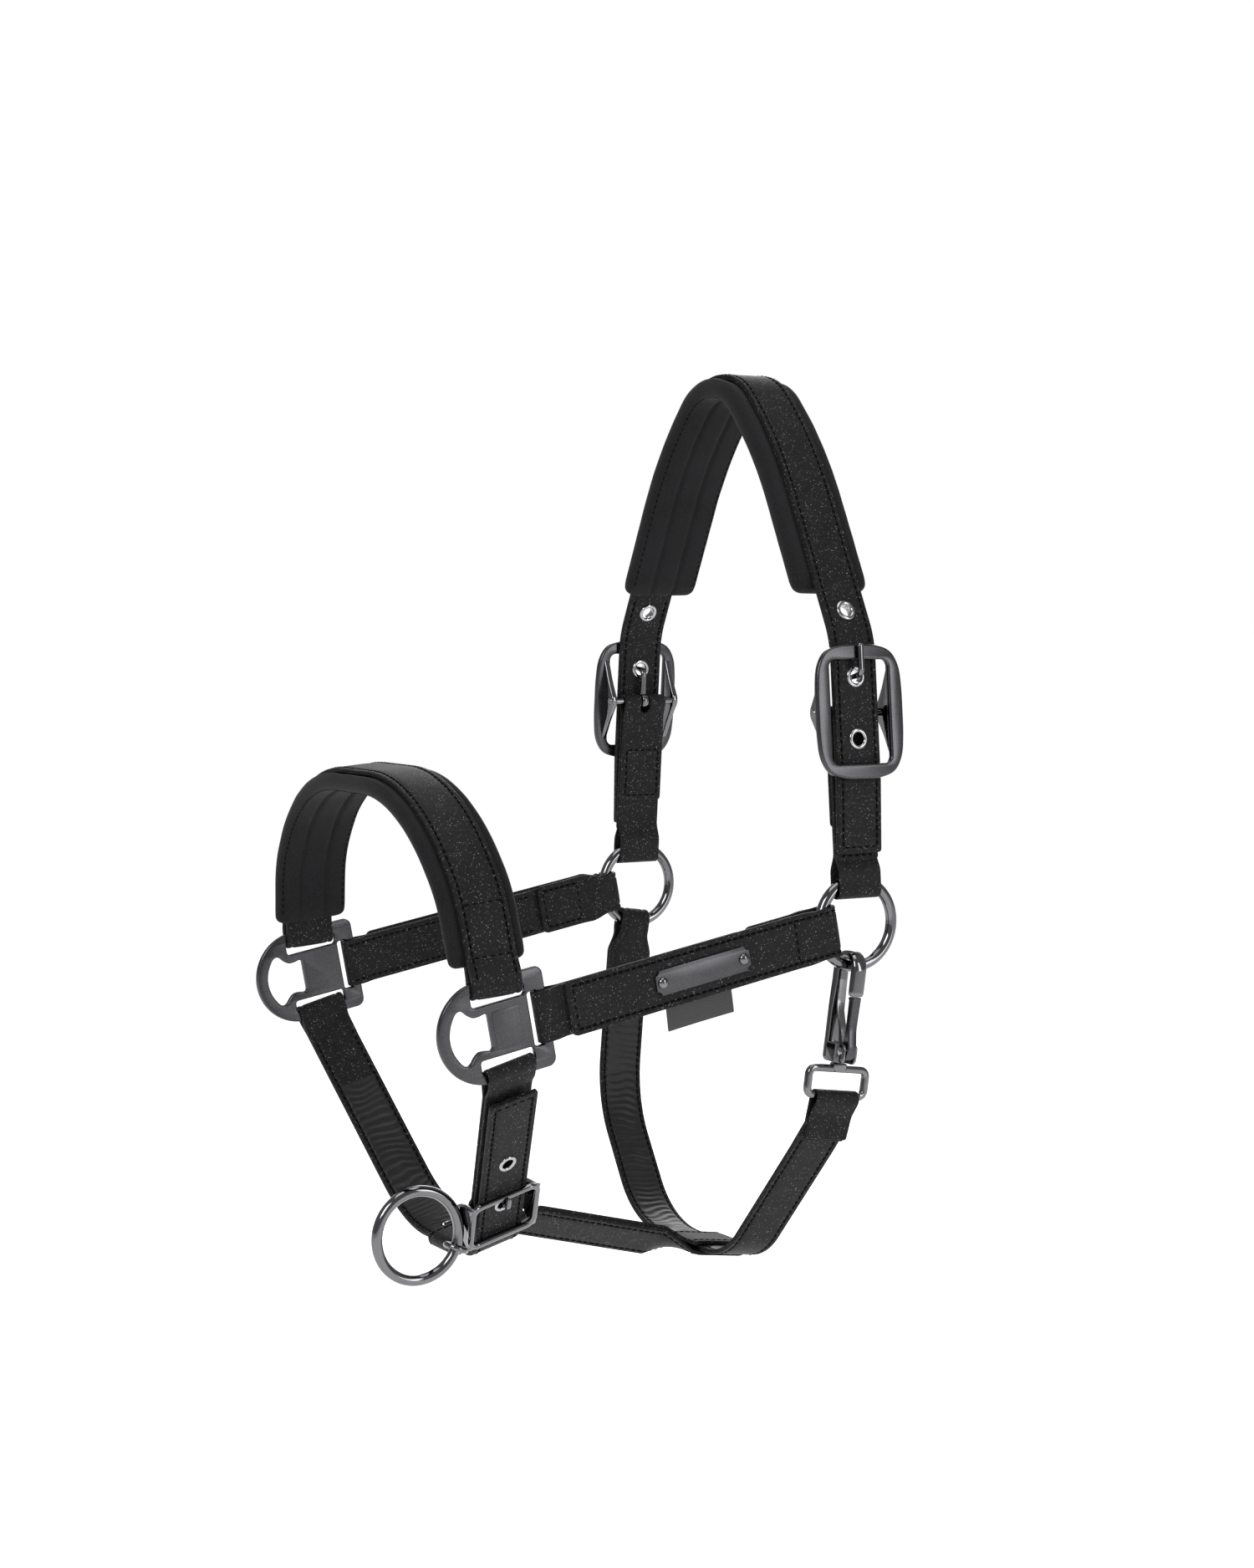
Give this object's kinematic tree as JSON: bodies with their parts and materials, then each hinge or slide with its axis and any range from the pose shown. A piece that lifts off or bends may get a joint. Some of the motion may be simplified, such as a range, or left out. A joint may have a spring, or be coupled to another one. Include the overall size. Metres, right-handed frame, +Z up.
{
  "type": "horse headcollar",
  "caption": "Padded horse headcollar with buckled headpiece, padded noseband, adjustable chin strap, clip-on throat strap and swinging lead ring.",
  "frame": {"origin": "underside of the crown pad at its highest point, where it lies on the horse's poll, in the middle plane", "axes": "+Z up along the headpiece, the nose points to -Y, the horse's left side is +X"},
  "size_m": [0.227, 0.259, 0.4508],
  "materials": {
    "strap": "satin",
    "padding": "matte",
    "label": "matte",
    "gunmetal": "satin",
    "black_chrome": "polished",
    "spring_steel": "satin"
  },
  "bodies": {
    "headpiece": {"crown_strap": "strap", "crown_pad": "padding", "left_crown_chape": "strap", "right_crown_chape": "strap", "left_crown_buckle_frame": "gunmetal", "right_crown_buckle_frame": "gunmetal", "left_crown_buckle_bar": "black_chrome", "right_crown_buckle_bar": "black_chrome", "left_crown_eyelets": "black_chrome", "right_crown_eyelets": "black_chrome"},
    "left_ring": {"left_cheek_ring": "black_chrome"},
    "right_ring": {"right_cheek_ring": "black_chrome"},
    "left_crown_tongue": {"left_crown_buckle_tongue": "black_chrome"},
    "right_crown_tongue": {"right_crown_buckle_tongue": "black_chrome"},
    "lower": {"left_cheek_strap": "strap", "right_cheek_strap": "strap", "left_cheek_overlay": "strap", "right_cheek_overlay": "strap", "name_plate": "gunmetal", "name_plate_rivets": "black_chrome", "woven_label": "label", "left_nose_fitting": "gunmetal", "right_nose_fitting": "gunmetal", "noseband_strap": "strap", "noseband_pad": "padding", "chin_strap": "strap", "chin_chape": "strap", "chin_eyelets": "black_chrome", "chin_buckle_frame": "black_chrome", "chin_buckle_bar": "black_chrome", "throat_strap": "strap", "jaw_strap": "strap", "snap_eye": "black_chrome"},
    "chin_tongue": {"chin_buckle_tongue": "black_chrome"},
    "lead": {"lead_ring": "black_chrome"},
    "snap": {"snap_body": "black_chrome", "snap_gate_pin": "black_chrome", "snap_gate_spring": "spring_steel"},
    "gate": {"snap_gate": "black_chrome"}
  },
  "joints": [
    {"name": "lower_swing", "type": "hinge", "parent": "headpiece", "child": "lower", "pos_m": [0, 0, -0.259], "axis": [1, 0, 0], "range_deg": [-8, 45]},
    {"name": "left_ring_spin", "type": "hinge", "parent": "headpiece", "child": "left_ring", "pos_m": [0.1055, 0, -0.259], "axis": [1, 0, 0], "continuous": true},
    {"name": "right_ring_spin", "type": "hinge", "parent": "headpiece", "child": "right_ring", "pos_m": [-0.1055, 0, -0.259], "axis": [1, 0, 0], "continuous": true},
    {"name": "left_crown_tongue_lift", "type": "hinge", "parent": "headpiece", "child": "left_crown_tongue", "pos_m": [0.09844, 0, -0.15731], "axis": [0, 1, 0], "range_deg": [0, 5]},
    {"name": "right_crown_tongue_lift", "type": "hinge", "parent": "headpiece", "child": "right_crown_tongue", "pos_m": [-0.09844, 0, -0.15731], "axis": [0, -1, 0], "range_deg": [0, 5]},
    {"name": "chin_tongue_lift", "type": "hinge", "parent": "lower", "child": "chin_tongue", "pos_m": [0.05192, -0.16958, -0.38736], "axis": [0, 0.9659, 0.2588], "range_deg": [0, 5]},
    {"name": "lead_ring_swing", "type": "hinge", "parent": "lower", "child": "lead", "pos_m": [0.05432, -0.19096, -0.4057], "axis": [0, 0.3746, 0.9272], "range_deg": [-5, 13]},
    {"name": "snap_swivel", "type": "hinge", "parent": "lower", "child": "snap", "pos_m": [0.1055, -0.00292, -0.2798], "axis": [0, 0.1392, 0.9903], "range_deg": [-12, 12]},
    {"name": "snap_gate_hinge", "type": "hinge", "parent": "snap", "child": "gate", "pos_m": [0.1111, -0.00863, -0.3204], "axis": [0, -0.9903, 0.1392], "range_deg": [0, 15], "stiffness_Nm_per_rad": 0.05, "springref_deg": -20.05}
  ]
}
